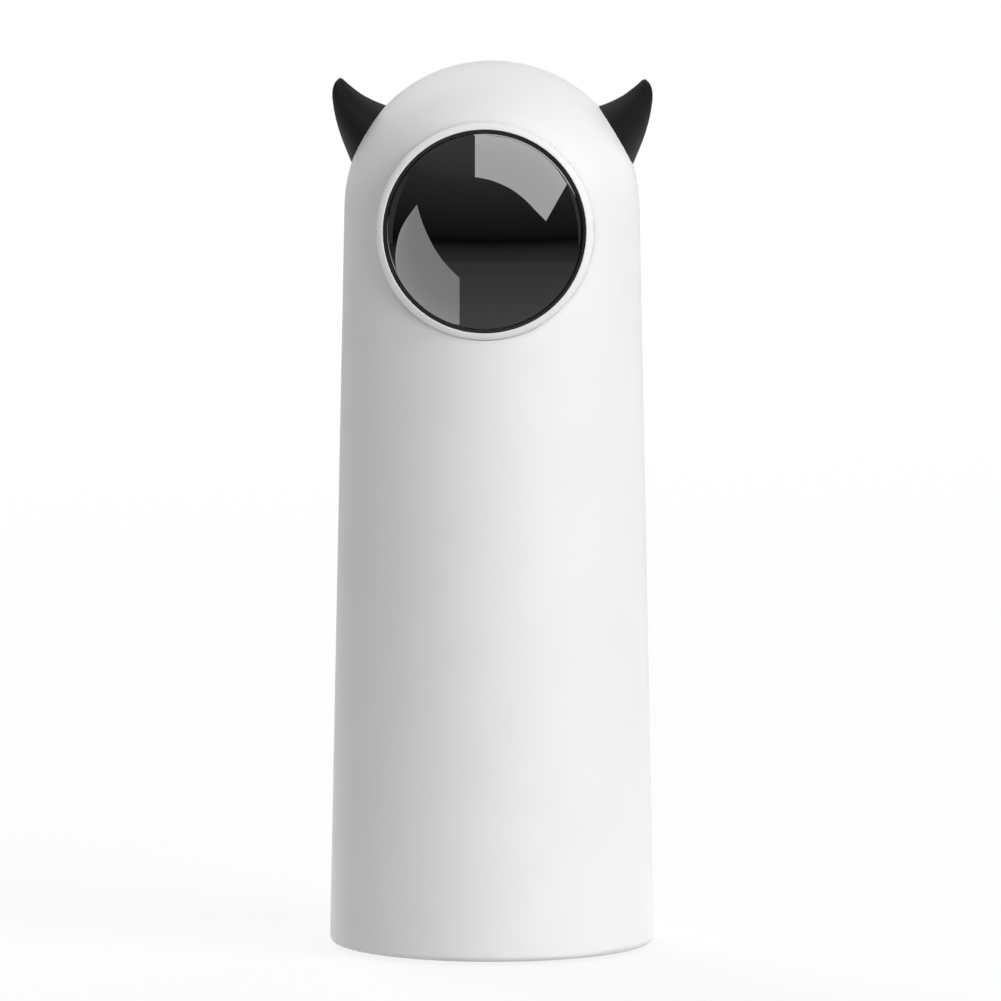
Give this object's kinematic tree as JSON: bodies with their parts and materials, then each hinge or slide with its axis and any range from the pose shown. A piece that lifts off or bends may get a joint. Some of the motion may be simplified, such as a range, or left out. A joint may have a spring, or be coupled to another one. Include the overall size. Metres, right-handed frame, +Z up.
{
  "type": "automatic cat laser toy",
  "caption": "Free-standing tube with a round horned head whose domed dark window hides a laser that motors pan and tilt to draw a moving dot.",
  "frame": {"origin": "centre of the foot pad's underside, on the floor", "axes": "+Z up along the body, -Y towards the window, +X to the right of someone looking at the window"},
  "size_m": [0.055, 0.0565, 0.15],
  "materials": {
    "white_shell": "fine satin moulding",
    "white_ring": "satin",
    "black_rubber": "matte",
    "dark_window": "polished",
    "horn_rubber": "satin",
    "grey_plastic": "matte",
    "white_base": "matte",
    "foot_rubber": "matte",
    "zinc_steel": "zinc plated",
    "chassis_plastic": "matte",
    "cell_wrap": "shrink film",
    "green_board": "solder mask",
    "white_connector": "matte",
    "lead_insulation": "satin",
    "chip_black": "matte",
    "button_plastic": "satin",
    "led_clear": "clear",
    "port_steel": "nickel plated",
    "motor_steel": "plated",
    "shaft_steel": "ground",
    "gear_plastic": "natural acetal",
    "laser_brass": "turned"
  },
  "bodies": {
    "base": {"outer_shell": "white_shell", "bezel_ring": "white_ring", "lens_gasket": "black_rubber", "lens_window": "dark_window", "left_horn": "horn_rubber", "right_horn": "horn_rubber", "horn_retainers": "grey_plastic", "base_plate": "white_base", "foot_pad": "foot_rubber", "base_screws": "zinc_steel", "main_chassis": "chassis_plastic", "battery_cell": "cell_wrap", "battery_board": "green_board", "battery_strap": "grey_plastic", "strap_screws": "zinc_steel", "battery_connector": "white_connector", "battery_leads": "lead_insulation", "main_pcb": "green_board", "pcb_screws": "zinc_steel", "mcu_chip": "chip_black", "pcb_components": "chip_black", "motor_connectors": "white_connector", "tact_switch": "chip_black", "indicator_led": "led_clear", "light_pipe": "led_clear", "usb_port": "port_steel", "usb_tongue": "chip_black", "top_deck": "chassis_plastic", "deck_screws": "zinc_steel", "pan_motor": "motor_steel", "pan_motor_screws": "zinc_steel", "pan_motor_leads": "lead_insulation", "pan_axle": "shaft_steel", "thrust_washer": "gear_plastic", "pan_clip": "shaft_steel"},
    "pan_table": {"pan_turntable": "gear_plastic", "yoke": "chassis_plastic", "yoke_screws": "zinc_steel", "tilt_motor": "motor_steel", "tilt_motor_screws": "zinc_steel"},
    "pan_pinion": {"pan_motor_shaft": "shaft_steel", "pan_pinion": "gear_plastic"},
    "laser_head": {"tilt_sector": "gear_plastic", "laser_carrier": "chassis_plastic", "tilt_pivot_pins": "shaft_steel", "laser_module": "laser_brass", "collimator_lens": "led_clear", "laser_driver_board": "green_board"},
    "tilt_pinion": {"tilt_motor_shaft": "shaft_steel", "tilt_pinion": "gear_plastic"},
    "power_button": {"power_button": "button_plastic"},
    "switch_plunger": {"switch_plunger": "grey_plastic"}
  },
  "joints": [
    {"name": "pan", "type": "hinge", "parent": "base", "child": "pan_table", "pos_m": [0, 0, 0.0915], "axis": [0, 0, 1], "range_deg": [-25, 25]},
    {"name": "pan_pinion_spin", "type": "hinge", "parent": "base", "child": "pan_pinion", "pos_m": [0, 0.01375, 0.0898], "axis": [0, 0, 1], "range_deg": [-90, 90]},
    {"name": "tilt", "type": "hinge", "parent": "pan_table", "child": "laser_head", "pos_m": [0, 0, 0.121], "axis": [1, 0, 0], "range_deg": [-8, 20]},
    {"name": "tilt_pinion_spin", "type": "hinge", "parent": "pan_table", "child": "tilt_pinion", "pos_m": [0.0092, 0, 0.1095], "axis": [1, 0, 0], "range_deg": [-73, 30]},
    {"name": "button_press", "type": "slide", "parent": "base", "child": "power_button", "axis": [0, -1, 0], "range_m": [0, 0.0004], "stiffness_N_per_m": 800},
    {"name": "switch_travel", "type": "slide", "parent": "base", "child": "switch_plunger", "axis": [0, -1, 0], "range_m": [0, 0.0005]}
  ],
  "couplings": [
    {"joint": "pan_pinion_spin", "follows": "pan", "ratio": -3.5833},
    {"joint": "tilt_pinion_spin", "follows": "tilt", "ratio": -3.6},
    {"joint": "switch_travel", "follows": "button_press", "ratio": 1}
  ]
}
